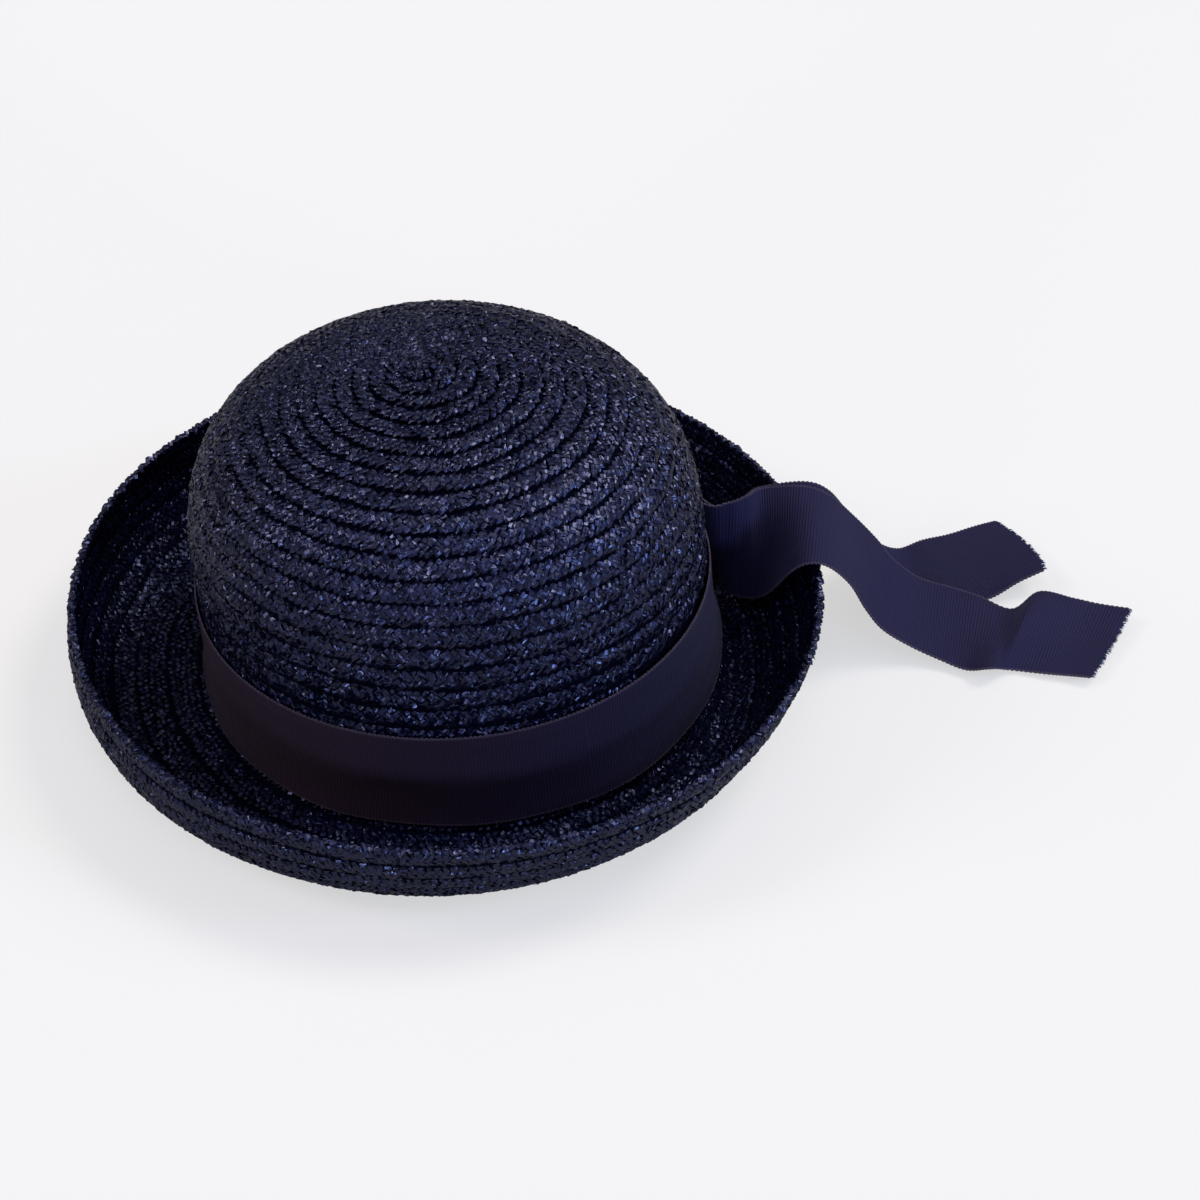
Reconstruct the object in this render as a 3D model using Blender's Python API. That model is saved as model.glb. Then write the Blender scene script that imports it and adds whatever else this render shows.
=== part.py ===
"""Roller hat of sewn straw braid, with a ribbon band and two loose ribbon tails.

The hat rests on its rolled brim. +Z is up, -Y is the front of the hat and +Y the back, where
the tails leave the band. Lengths are in metres and angles in degrees. Angles round the hat are
counted from +X towards +Y.
"""
import math

import bmesh
import bpy
from mathutils import Matrix, Vector

# Straw braid
WALL = 0.0014
ROW_RISE = 0.0008
ROW_STEP = 0.0009
FIRST_ROW = 0.0115
ROW_PITCH = 0.0064
ROW_PITCH_GAIN = 0.00015
BRIM_ROW_PITCH = 0.0082

# Crown
CROWN_LENGTH = 0.1838
CROWN_WIDTH = 0.1730
LONG_SIDE_TURN = 40.7
FOOT_HEIGHT = 0.0135
SHOULDER_HEIGHT = 0.057
CROWN_HEIGHT = 0.1324
SHOULDER_POWER = 2.9
SIDE_POWER = 2.68
LEAN = 3.8
LEAN_TOWARDS = 240.0
TOP_SHIFT = 0.0102
TOP_SHIFT_TOWARDS = 184.0
TOP_SHIFT_POWER = 2.2

# Brim
BRIM_LENGTH = 0.2668
BRIM_WIDTH = 0.2576
BRIM_SHIFT = 0.0047
BRIM_SHIFT_TOWARDS = 227.0
LIP_HEIGHT = 0.0393
LIP_TILT = 0.0018
LIP_SADDLE = 0.0008
ROLL_SHIFT = 0.0078
ROLL_SHIFT_TOWARDS = 243.0
FOOT_BLEND = 0.42

# Ribbon
RIBBON_WIDTH = 0.0390
RIBBON_THICKNESS = 0.0010
BAND_DROP = 0.0029
BAND_FLARE = 0.0024

# Small gap between pieces that touch
CLEARANCE = 0.0003

# Facets
STEPS_AROUND = 50
LINING_RINGS = 10
COLLAR_BENDS = 2
TAIL_STEPS = 3

# The brim's face from the crown's foot to the lip.
# out: share of the way from foot to lip, height: share of the way from resting face to lip,
# shift: share of the roll's shift to one side
BRIM_PROFILE = (
    # out, height, shift
    (0.000, 0.300, 0.00),
    (0.020, 0.220, 0.00),
    (0.080, 0.157, 0.05),
    (0.220, 0.085, 0.45),
    (0.340, 0.025, 0.80),
    (0.420, 0.000, 1.00),
    (0.510, 0.000, 1.00),
    (0.610, 0.040, 1.00),
    (0.720, 0.135, 0.95),
    (0.835, 0.300, 0.85),
    (0.925, 0.530, 0.60),
    (0.982, 0.780, 0.25),
    (1.000, 1.000, 0.00),
)

# The band's stand-off from the crown, as a share of its flare
BAND_PROFILE = (
    # height share, flare share
    (0.00, 1.00),
    (0.18, 0.45),
    (0.45, 0.10),
    (1.00, 0.00),
)

# Ribbon tails. Each row is one crossways line of the ribbon.
# turn: angle round the brim's oval, out: share of the way from the band's foot to the lip (more
# than 1 is past the lip), lift: height of the ribbon's lower edge as a share of the lip's height
# there, lie: the way that the ribbon's width points, stand: its slope
LONG_TAIL = (
    # turn, out, lift, lie, stand
    (99.2, 0.00, 0.290, -70, 86),
    (83.0, 0.15, 0.282, -75, 82),
    (77.4, 0.21, 0.277, 148, 83),
    (72.7, 0.37, 0.330, 151, 65),
    (68.0, 0.54, 0.546, 154, 38),
    (63.4, 0.79, 1.021, 144, 8),
    (62.5, 1.08, 1.078, 144, -1),
    (62.8, 1.38, 0.835, 144, -3),
    (62.3, 1.59, 0.534, 141, 0),
    (61.6, 1.79, 0.325, 141, 0),
    (60.8, 2.10, 0.166, 141, -2),
    (59.6, 2.44, 0.072, 140, 1),
    (58.2, 2.73, 0.052, 139, 2),
    (57.2, 2.98, 0.144, 132, -7),
    (58.5, 3.23, 0.025, 129, 8),
    (57.8, 3.66, 0.036, 131, 5),
    (57.5, 3.88, 0.046, 127, 3),
    (57.0, 4.13, 0.072, 122, 3),
)
SHORT_TAIL = (
    # turn, out, lift, lie, stand
    (104.0, 0.07, 0.210, -30, 87),
    (83.3, 0.21, 0.196, -75, 85),
    (78.8, 0.27, 0.187, 148, 83),
    (74.1, 0.39, 0.280, 151, 65),
    (69.5, 0.55, 0.501, 154, 38),
    (65.5, 0.82, 0.980, 144, 8),
    (64.3, 1.11, 1.031, 145, 0),
    (65.3, 1.45, 0.673, 149, 1),
    (66.2, 1.68, 0.418, 153, 3),
    (67.1, 2.03, 0.135, 157, 2),
    (67.5, 2.41, 0.038, 162, -1),
    (68.3, 2.82, 0.031, 167, 0),
    (68.6, 3.20, 0.070, 170, -2),
    (69.3, 3.54, 0.154, 169, -7),
    (69.7, 3.92, 0.231, 173, -11),
)


def turned(angle):
    """Unit vector in plan."""
    return Vector((math.cos(math.radians(angle)), math.sin(math.radians(angle)), 0.0))


# Sizes that follow from the ones above
FACE_HEIGHT = WALL + ROW_RISE
CROWN_LONG = CROWN_LENGTH / 2
CROWN_SHORT = CROWN_WIDTH / 2
LIP_LONG = BRIM_LENGTH / 2
LIP_SHORT = BRIM_WIDTH / 2
BAND_EDGE_HEIGHT = FOOT_HEIGHT - BAND_DROP
LONG_SIDE = turned(LONG_SIDE_TURN)
SHORT_SIDE = turned(LONG_SIDE_TURN + 90)
TILT = Matrix.Rotation(math.radians(LEAN), 3, Vector((0, 0, 1)).cross(turned(LEAN_TOWARDS)))


def clear_scene():
    for item in list(bpy.data.objects):
        bpy.data.objects.remove(item, do_unlink=True)


def smooth_curve(rows, place):
    """Read every column of a table at a place between its rows, with no overshoot."""
    count = len(rows)
    columns = []
    first = min(int(place), count - 2)
    part = place - first
    for column in zip(*rows):
        steps = [b - a for a, b in zip(column, column[1:])]
        slopes = [steps[0]]
        for before, after in zip(steps, steps[1:]):
            same_way = before * after > 0
            slopes.append(2 * before * after / (before + after) if same_way else 0.0)
        slopes.append(steps[-1])
        a, b = column[first], column[first + 1]
        keep = (1 + 2 * part) * (1 - part) ** 2
        reach = part * part * (3 - 2 * part)
        lead = part * (1 - part) ** 2 * slopes[first]
        trail = part * part * (part - 1) * slopes[first + 1]
        columns.append(keep * a + reach * b + lead + trail)
    return columns


def lean(point):
    """Tip a point of the upright crown over, about the middle of its foot."""
    pivot = Vector((0, 0, FOOT_HEIGHT))
    return TILT @ (point - pivot) + pivot


def oval(turn, long_half, short_half):
    """Point of an oval round the hat's axis, and the way out from it."""
    angle = math.radians(turn - LONG_SIDE_TURN)
    across, along = math.cos(angle), math.sin(angle)
    point = LONG_SIDE * (long_half * across) + SHORT_SIDE * (short_half * along)
    away = LONG_SIDE * (short_half * across) + SHORT_SIDE * (long_half * along)
    return point, away.normalized()


def crown_share(height):
    """Radius of the crown at a height, as a share of its radius at the band."""
    rise = (height - SHOULDER_HEIGHT) / (CROWN_HEIGHT - SHOULDER_HEIGHT)
    if rise <= 0:
        return 1.0
    return (1 - min(rise, 1.0) ** SHOULDER_POWER) ** (1 / SIDE_POWER)


def crown_outline(samples=240):
    """The crown's outline from the top's middle down to the foot: distance, share, height."""
    radius = (CROWN_LONG + CROWN_SHORT) / 2
    dome = CROWN_HEIGHT - SHOULDER_HEIGHT
    heights = [SHOULDER_HEIGHT + dome * math.cos(math.pi / 2 * i / samples) ** 0.8 for i in range(samples)]
    heights += [SHOULDER_HEIGHT, FOOT_HEIGHT]
    outline = [(0.0, 0.0, CROWN_HEIGHT)]
    for height in heights[1:]:
        share = crown_share(height)
        distance, last_share, last_height = outline[-1]
        distance += math.hypot((share - last_share) * radius, height - last_height)
        outline.append((distance, share, height))
    return outline


CROWN_OUTLINE = crown_outline()
CROWN_PATH = CROWN_OUTLINE[-1][0]


def crown_at(distance):
    """Share and height of the crown at a distance down its outline, and its slope there."""
    radius = (CROWN_LONG + CROWN_SHORT) / 2
    for before, after in zip(CROWN_OUTLINE, CROWN_OUTLINE[1:]):
        if distance <= after[0]:
            break
    span = after[0] - before[0]
    part = (distance - before[0]) / span
    share = before[1] + (after[1] - before[1]) * part
    height = before[2] + (after[2] - before[2]) * part
    outward = (before[2] - after[2]) / span
    upward = (after[1] - before[1]) * radius / span
    return share, height, outward, upward


def crown_point(turn, distance, depth):
    """Point of the crown, a depth under its outermost face."""
    share, height, outward, upward = crown_at(distance)
    point, away = oval(turn, CROWN_LONG * share, CROWN_SHORT * share)
    point += turned(TOP_SHIFT_TOWARDS) * (TOP_SHIFT * (1 - share) ** TOP_SHIFT_POWER)
    point.z = height
    point -= (away * outward + Vector((0, 0, upward))) * depth
    return lean(point)


def crown_rows():
    """Distances down the crown of the lower edge of each row of braid."""
    edges = [FIRST_ROW]
    pitch = ROW_PITCH
    while edges[-1] + pitch * 1.5 < CROWN_PATH:
        edges.append(edges[-1] + pitch)
        pitch += ROW_PITCH_GAIN
    return edges


def foot_point(turn, depth):
    """Point of the crown's foot ring, a depth under its outermost face."""
    point, away = oval(turn, CROWN_LONG, CROWN_SHORT)
    point -= away * depth
    point.z = FOOT_HEIGHT
    return lean(point)


def lip_point(turn):
    """Point of the lip's edge, with the way out from it in plan."""
    point, away = oval(turn, LIP_LONG, LIP_SHORT)
    point += turned(BRIM_SHIFT_TOWARDS) * BRIM_SHIFT
    angle = math.radians(turn - LONG_SIDE_TURN)
    point.z = LIP_HEIGHT + LIP_TILT * math.cos(angle) + LIP_SADDLE * math.cos(2 * angle)
    return point, away


def brim_face(turn, out, height, shift):
    """Point of the brim's face for a row of its outline, with the way out from it in plan."""
    foot = foot_point(turn, ROW_RISE)
    lip, away = lip_point(turn)
    point = foot.lerp(lip, out) + turned(ROLL_SHIFT_TOWARDS) * (ROLL_SHIFT * shift)
    blend = max(0.0, 1 - out / FOOT_BLEND) ** 1.5
    start = FACE_HEIGHT + BRIM_PROFILE[0][1] * (lip.z - FACE_HEIGHT)
    point.z = FACE_HEIGHT + height * (lip.z - FACE_HEIGHT) + (foot.z - CLEARANCE - start) * blend
    return point, away


def brim_path(samples=12):
    """Places in the brim's table, with the distance along the brim from the foot to each."""
    breadth = (LIP_LONG + LIP_SHORT - CROWN_LONG - CROWN_SHORT) / 2 + ROW_RISE
    places = [i / samples for i in range((len(BRIM_PROFILE) - 1) * samples + 1)]
    path = [(0.0, 0.0)]
    for before, place in zip(places, places[1:]):
        a = smooth_curve(BRIM_PROFILE, before)
        b = smooth_curve(BRIM_PROFILE, place)
        step = math.hypot((b[0] - a[0]) * breadth, (b[1] - a[1]) * (LIP_HEIGHT - FACE_HEIGHT))
        path.append((path[-1][0] + step, place))
    return path


def brim_distance(place):
    """Distance along the brim at a place in its table."""
    return next(distance for distance, at in BRIM_PATH if at >= place)


def brim_place(distance):
    """Place in the brim's table at a distance along the brim."""
    for before, after in zip(BRIM_PATH, BRIM_PATH[1:]):
        if distance <= after[0]:
            break
    part = (distance - before[0]) / (after[0] - before[0])
    return before[1] + (after[1] - before[1]) * part


BRIM_PATH = brim_path()
FLAT_START = next(i for i, row in enumerate(BRIM_PROFILE) if row[1] == 0.0)


def brim_point(turn, place, depth):
    """Point of the brim, a depth under its face."""
    step = 0.02
    last = len(BRIM_PROFILE) - 1
    here, away = brim_face(turn, *smooth_curve(BRIM_PROFILE, place))
    before, _ = brim_face(turn, *smooth_curve(BRIM_PROFILE, max(place - step, 0.0)))
    after, _ = brim_face(turn, *smooth_curve(BRIM_PROFILE, min(place + step, last)))
    along = after - before
    run = along.dot(away)
    if FLAT_START <= place <= FLAT_START + 1:
        along = away * run
    if place == 0:
        along = Vector((0, 0, -1))
        run = 0.0
    normal = (Vector((0, 0, run)) - away * along.z).normalized()
    return here - normal * depth


def ridge_depth(distance, edges):
    """Depth under the outermost face at a distance along rows whose lower edges stand proud."""
    start = 0.0
    for edge in edges:
        if distance < edge:
            break
        start = edge
    proud = edge - ROW_STEP
    if distance <= proud:
        return ROW_RISE * (proud - distance) / (proud - start)
    return ROW_RISE * min(1.0, (distance - proud) / ROW_STEP)


def brim_rings():
    """Places of the brim's rings, each with the depth of the groove or ridge there."""
    count = round(BRIM_PATH[-1][0] / BRIM_ROW_PITCH)
    pitch = BRIM_PATH[-1][0] / count
    edges = [pitch * (row + 1) for row in range(count)]
    edges[-1] += ROW_STEP
    collar = [brim_distance(place) for place in range(COLLAR_BENDS + 1)]
    distances = collar + edges[:-1] + [edge - ROW_STEP for edge in edges]
    rings = [(brim_place(distance), ridge_depth(distance, edges)) for distance in sorted(distances)]
    flat = [(FLAT_START, 0.0), (FLAT_START + 1, 0.0)]
    clear = [ring for ring in rings if abs(ring[0] - FLAT_START - 0.5) > 0.65]
    return sorted(clear + flat)


def add_ring(bm, points):
    return [bm.verts.new(point) for point in points]


def add_skin(bm, rings):
    """Faces between each ring and the next."""
    for ring, other in zip(rings, rings[1:]):
        for i in range(len(ring)):
            bm.faces.new((ring[i - 1], ring[i], other[i], other[i - 1]))


def add_tip(bm, ring, middle):
    """Close a ring with a fan of faces to one point."""
    tip = bm.verts.new(middle)
    for i in range(len(ring)):
        bm.faces.new((ring[i - 1], ring[i], tip))


def straw_material(name, colour):
    material = bpy.data.materials.new(name)
    material.use_nodes = True
    shader = material.node_tree.nodes["Principled BSDF"]
    shader.inputs["Base Color"].default_value = (*colour, 1.0)
    shader.inputs["Roughness"].default_value = 0.45
    shader.inputs["Metallic"].default_value = 0.0
    return material


def ribbon_material(name, colour):
    material = straw_material(name, colour)
    shader = material.node_tree.nodes["Principled BSDF"]
    shader.inputs["Roughness"].default_value = 0.85
    return material


def add_object(name, bm, material):
    bmesh.ops.recalc_face_normals(bm, faces=bm.faces)
    mesh = bpy.data.meshes.new(name)
    bm.to_mesh(mesh)
    bm.free()
    mesh.shade_smooth()
    mesh.set_sharp_from_angle(angle=math.radians(40))
    mesh.materials.append(material)
    item = bpy.data.objects.new(name, mesh)
    bpy.context.collection.objects.link(item)
    return item


def turns():
    return [360 * i / STEPS_AROUND for i in range(STEPS_AROUND)]


def make_crown():
    """Dome of braid rows. Each row's lower edge laps over the next row."""
    bm = bmesh.new()
    edges = crown_rows() + [CROWN_PATH + ROW_STEP]
    distances = [FIRST_ROW * 0.4, CROWN_PATH]
    distances += edges[:-1] + [edge - ROW_STEP for edge in edges[:-1]]
    outside = [add_ring(bm, [crown_point(turn, distance, ridge_depth(distance, edges)) for turn in turns()])
               for distance in sorted(distances)]
    inside = []
    for ring in range(1, LINING_RINGS + 1):
        distance = CROWN_PATH * ring / LINING_RINGS
        inside.append(add_ring(bm, [crown_point(turn, distance, FACE_HEIGHT) for turn in turns()]))
    add_skin(bm, list(reversed(outside)))
    add_skin(bm, inside + [outside[-1]])
    add_tip(bm, outside[0], crown_point(0, 0.0, 0.0))
    add_tip(bm, inside[0], crown_point(0, 0.0, FACE_HEIGHT))
    return add_object("crown", bm, straw_material("navy straw braid", (0.010, 0.011, 0.026)))


def make_brim():
    """Brim of braid rows: down to the ring that it rests on, then rolled up to the lip."""
    bm = bmesh.new()
    places = brim_rings()
    rings = [add_ring(bm, [brim_point(turn, place, depth if place else 0.0) for turn in turns()])
             for place, depth in places]
    rings += [add_ring(bm, [brim_point(turn, place, FACE_HEIGHT - depth if place else WALL)
                            for turn in turns()])
              for place, depth in reversed(places)]
    add_skin(bm, rings + rings[:1])
    return add_object("brim", bm, straw_material("navy straw braid brim", (0.010, 0.011, 0.026)))


def band_point(turn, place, outer):
    """Point of the band. Its lower edge flares away from the crown."""
    up, flare = smooth_curve(BAND_PROFILE, place)
    point, away = oval(turn, CROWN_LONG, CROWN_SHORT)
    point += away * (CLEARANCE + BAND_FLARE * flare + (RIBBON_THICKNESS if outer else 0.0))
    point.z = BAND_EDGE_HEIGHT + RIBBON_WIDTH * up
    return lean(point)


def make_band():
    bm = bmesh.new()
    places = range(len(BAND_PROFILE))
    rings = [add_ring(bm, [band_point(turn, place, True) for turn in turns()]) for place in places]
    rings += [add_ring(bm, [band_point(turn, place, False) for turn in turns()])
              for place in reversed(places)]
    add_skin(bm, rings + rings[:1])
    return add_object("hat_band", bm, ribbon_material("dark grosgrain ribbon", (0.010, 0.008, 0.014)))


def tail_lines(table):
    """Both ends of each crossways line of a tail, from its table."""
    lines = []
    for turn, out, lift, lie, stand in table:
        foot, away = oval(turn, CROWN_LONG, CROWN_SHORT)
        foot += away * (BAND_FLARE + RIBBON_THICKNESS * 1.5 + CLEARANCE * 2)
        lip, _ = lip_point(turn)
        low = foot.lerp(lip, out)
        low.z = lift * lip.z
        slope = math.radians(stand)
        way = turned(lie) * math.cos(slope) + Vector((0, 0, math.sin(slope)))
        lines.append((low, low + way * RIBBON_WIDTH))
    return lines


def tail_curve(points, place):
    """Smooth curve through the points."""
    last = len(points) - 1
    first = min(int(place), last - 1)
    part = place - first
    a, b = points[first], points[first + 1]
    before = points[first - 1] if first else a * 2 - b
    after = points[first + 2] if first + 2 <= last else b * 2 - a
    lead = (b - before) / 2
    trail = (after - a) / 2
    keep = (1 + 2 * part) * (1 - part) ** 2
    reach = part * part * (3 - 2 * part)
    return a * keep + b * reach + lead * (part * (1 - part) ** 2) + trail * (part * part * (part - 1))


def make_tail(name, table):
    """A ribbon tail: a strip of faces along the ribbon, then thickened."""
    lines = tail_lines(table)
    lows = [line[0] for line in lines]
    highs = [line[1] for line in lines]
    count = (len(lines) - 1) * TAIL_STEPS
    bm = bmesh.new()
    bmesh.ops.create_grid(bm, x_segments=count, y_segments=2, size=1.0)
    for vert in bm.verts:
        place = (vert.co.x + 1) / 2 * (len(lines) - 1)
        across = (vert.co.y + 1) / 2
        vert.co = tail_curve(lows, place).lerp(tail_curve(highs, place), across)
    item = add_object(name, bm, ribbon_material(name + " grosgrain ribbon", (0.022, 0.018, 0.050)))
    solid = item.modifiers.new("thickness", "SOLIDIFY")
    solid.thickness = RIBBON_THICKNESS
    solid.offset = 0.0
    solid.use_even_offset = False
    return item


def stand_on_origin(items):
    """Put the middle of the underside of everything at the origin."""
    bpy.context.view_layer.update()
    graph = bpy.context.evaluated_depsgraph_get()
    corners = [item.matrix_world @ vert.co
               for item in items for vert in item.evaluated_get(graph).data.vertices]
    low = Vector([min(corner[i] for corner in corners) for i in range(3)])
    high = Vector([max(corner[i] for corner in corners) for i in range(3)])
    base = bpy.data.objects.new("hat_base", None)
    bpy.context.collection.objects.link(base)
    base.location = (-(low.x + high.x) / 2, -(low.y + high.y) / 2, -low.z)
    for item in items:
        item.parent = base


def main():
    clear_scene()
    items = [make_crown(), make_brim(), make_band(),
             make_tail("tail_long", LONG_TAIL), make_tail("tail_short", SHORT_TAIL)]
    stand_on_origin(items)


main()
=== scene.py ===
"""Roller hat of sewn straw braid, with a grosgrain band and two loose ribbon tails.

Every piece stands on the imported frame, in metres. +Z is up, -Y is the front of the hat. Angles are
in degrees, counted from +X towards +Y.
"""
import math

import bpy
import numpy as np
from mathutils import Matrix, Vector


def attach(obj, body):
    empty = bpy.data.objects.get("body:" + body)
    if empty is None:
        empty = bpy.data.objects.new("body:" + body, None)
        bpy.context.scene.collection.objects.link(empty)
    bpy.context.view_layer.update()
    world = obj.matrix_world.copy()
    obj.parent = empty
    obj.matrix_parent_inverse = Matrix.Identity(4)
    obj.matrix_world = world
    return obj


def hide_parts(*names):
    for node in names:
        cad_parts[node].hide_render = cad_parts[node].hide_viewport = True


bl_info = {
    "name": "Roller hat",
    "version": (1, 0, 0),
    "blender": (4, 5, 0),
    "location": "3D View > Sidebar > Roller hat",
    "description": "A sewn straw braid hat with a ribbon band and two ribbon tails",
    "category": "Add Mesh",
}

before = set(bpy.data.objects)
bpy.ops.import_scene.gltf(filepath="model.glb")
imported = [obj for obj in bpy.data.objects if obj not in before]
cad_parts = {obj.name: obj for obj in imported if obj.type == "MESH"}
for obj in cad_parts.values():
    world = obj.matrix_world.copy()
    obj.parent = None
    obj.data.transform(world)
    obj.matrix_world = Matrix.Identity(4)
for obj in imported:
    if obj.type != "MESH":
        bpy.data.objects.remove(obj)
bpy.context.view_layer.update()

# Where the middle of the crown's foot stands in the frame
HAT_BASE = np.array((0.00324, -0.04504, 0.0))

# The next four groups repeat sizes of the frame's solids, which the braid and ribbon follow.
# The straw wall and its rows
WALL = 0.0014
ROW_RISE = 0.0008
FACE_HEIGHT = WALL + ROW_RISE
FIRST_ROW = 0.0115
ROW_PITCH = 0.0064
ROW_PITCH_GAIN = 0.00015
BRIM_ROW_PITCH = 0.0082

# The crown: an oval foot and a leaning dome, whose tip has shifted
CROWN_LONG = 0.1838 / 2
CROWN_SHORT = 0.1730 / 2
CROWN_RADIUS = (CROWN_LONG + CROWN_SHORT) / 2
LONG_SIDE_TURN = 40.7
FOOT_HEIGHT = 0.0135
SHOULDER_HEIGHT = 0.057
CROWN_HEIGHT = 0.1324
SHOULDER_POWER = 2.9
SIDE_POWER = 2.68
LEAN = 3.8
LEAN_TOWARDS = 240.0
TOP_SHIFT = 0.0102
TOP_SHIFT_TOWARDS = 184.0
TOP_SHIFT_POWER = 2.2

# The brim: its lip, and the roll, which stands out further on one side
LIP_LONG = 0.2668 / 2
LIP_SHORT = 0.2576 / 2
BRIM_SHIFT = 0.0047
BRIM_SHIFT_TOWARDS = 227.0
LIP_HEIGHT = 0.0393
LIP_TILT = 0.0018
LIP_SADDLE = 0.0008
ROLL_SHIFT = 0.0078
ROLL_SHIFT_TOWARDS = 243.0
FOOT_BLEND = 0.42
FOOT_BLEND_POWER = 1.5

# The ribbon, and how it stands off the crown
RIBBON_WIDTH = 0.039
RIBBON_THICKNESS = 0.0010
BAND_EDGE_HEIGHT = 0.0106
BAND_FLARE = 0.0024
CLEARANCE = 0.0003
TAIL_STAND = BAND_FLARE + RIBBON_THICKNESS * 1.5 + CLEARANCE * 2

# What the scene adds from here on.
# How far the plait stands off the solids' faces, and how thick the dark layer behind it is
PLAIT_LIFT = 0.0003
CORE_THICKNESS = 0.0003

# One strand of straw, in shares of its own length, width and height
STRAND_MIDDLE = 1.3
STRAND_TIP_WIDTH = 0.75
STRAND_HUMP = 0.4
STRAND_DIP = -0.9
STRAND_OVERLAP = 1.5
STRAND_SUNK = 0.3

# How much strands differ, in shares of their length and width, in degrees, in metres and in slope
LENGTH_SPREAD = 0.12
WIDTH_SPREAD = 0.15
ANGLE_SPREAD = 10.0
TURN_SPREAD = 0.05
PLACE_SPREAD = 0.00015
RISE_SPREAD = 0.00008
SLOPE_SPREAD = 0.12

# Degrees between a row and the strands that cross it, and those that turn round its free edge
PLAIT_ANGLES = (50.0, 26.0)
UNDERSIDE_ANGLES = (46.0, 8.0)

# How far the straw's facets tilt low on the crown and near its tip
CROWN_FACETS = (1.0, 0.5)
FLAT_FACETS = (0.5, 0.5)

# The crown's coil: its first row, counted from the tip, and where it passes the front
COIL_START = -1.35
FRONT_TURN = 330.0
# The share of a strand by which each row of the brim starts further round than the last
RING_SHIFT = 0.37

# The photo's view
VIEW_TARGET = Vector((-0.00225, 0.01646, 0.0))
VIEW_TURN = math.radians(60.0)
VIEW_RISE = math.radians(42.5)
VIEW_DISTANCE = 1.170
VIEW_LENS = 93.47
FLOOR_SIZE = 30.0
FLOOR_HEIGHT = -0.0008

BRIM_PROFILE = (
    # out, height, shift
    (0.000, 0.300, 0.00),
    (0.020, 0.220, 0.00),
    (0.080, 0.157, 0.05),
    (0.220, 0.085, 0.45),
    (0.340, 0.025, 0.80),
    (0.420, 0.000, 1.00),
    (0.510, 0.000, 1.00),
    (0.610, 0.040, 1.00),
    (0.720, 0.135, 0.95),
    (0.835, 0.300, 0.85),
    (0.925, 0.530, 0.60),
    (0.982, 0.780, 0.25),
    (1.000, 1.000, 0.00),
)
BAND_PROFILE = (
    # height share, flare share
    (0.00, 1.00),
    (0.18, 0.45),
    (0.45, 0.10),
    (1.00, 0.00),
)
LONG_TAIL = (
    # turn, out, lift, lie, stand
    (99.2, 0.00, 0.290, -70, 86),
    (83.0, 0.15, 0.282, -75, 82),
    (77.4, 0.21, 0.277, 148, 83),
    (72.7, 0.37, 0.330, 151, 65),
    (68.0, 0.54, 0.546, 154, 38),
    (63.4, 0.79, 1.021, 144, 8),
    (62.5, 1.08, 1.078, 144, -1),
    (62.8, 1.38, 0.835, 144, -3),
    (62.3, 1.59, 0.534, 141, 0),
    (61.6, 1.79, 0.325, 141, 0),
    (60.8, 2.10, 0.166, 141, -2),
    (59.6, 2.44, 0.072, 140, 1),
    (58.2, 2.73, 0.052, 139, 2),
    (57.2, 2.98, 0.144, 132, -7),
    (58.5, 3.23, 0.025, 129, 8),
    (57.8, 3.66, 0.036, 131, 5),
    (57.5, 3.88, 0.046, 127, 3),
    (57.0, 4.13, 0.072, 122, 3),
)
SHORT_TAIL = (
    # turn, out, lift, lie, stand
    (104.0, 0.07, 0.210, -30, 87),
    (83.3, 0.21, 0.196, -75, 85),
    (78.8, 0.27, 0.187, 148, 83),
    (74.1, 0.39, 0.280, 151, 65),
    (69.5, 0.55, 0.501, 154, 38),
    (65.5, 0.82, 0.980, 144, 8),
    (64.3, 1.11, 1.031, 145, 0),
    (65.3, 1.45, 0.673, 149, 1),
    (66.2, 1.68, 0.418, 153, 3),
    (67.1, 2.03, 0.135, 157, 2),
    (67.5, 2.41, 0.038, 162, -1),
    (68.3, 2.82, 0.031, 167, 0),
    (68.6, 3.20, 0.070, 170, -2),
    (69.3, 3.54, 0.154, 169, -7),
    (69.7, 3.92, 0.231, 173, -11),
)
LONG_TAIL_FOLDS = (
    # row of LONG_TAIL at the lower edge, at the upper one, breadth there in rows, there, rise
    (13.5, 13.0, 0.30, 0.90, 0.0037),
    (8.9, 8.5, 0.12, 0.16, -0.0009),
)
# How slowly a fold falls away behind its ridge
FOLD_FALL = 1.2
BAND_RIPPLE = (
    # height, waves round, shift
    (0.00045, 5, 1.0),
    (0.00030, 11, 0.0),
)
BAND_EDGE_STAND = 0.0004

# Lines of points along the ribbons, in shares of their width
BAND_LINES = (0.0, 0.012, 0.08, 0.2, 0.4, 0.7, 0.92, 0.988, 1.0)
TAIL_LINES = (0.0, 0.012, 0.12, 0.3, 0.5, 0.7, 0.88, 0.988, 1.0)

ROW_WOBBLE = (
    # stray, waves round, shift with the distance down
    (0.00030, 5, 900.0),
    (0.00022, 13, 2300.0),
)
SOFT_LIGHTS = (
    # name, turn, height, strength, spread, colour
    ("main_light", 92.0, 52.0, 1.25, 24.0, "#f6f6ff"),
    ("left_light", 240.0, 38.0, 0.78, 22.0, "#f4ecff"),
    ("back_light", 160.0, 66.0, 0.30, 40.0, "#f6f4ff"),
    ("right_light", 52.0, 30.0, 0.85, 15.0, "#a8c0ff"),
    ("front_right_light", 8.0, 11.0, 0.90, 9.0, "#b0caff"),
    ("front_left_light", 300.0, 12.0, 0.44, 9.0, "#bccaff"),
    ("top_light", 332.0, 68.0, 0.54, 24.0, "#bcc8ff"),
)


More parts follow.
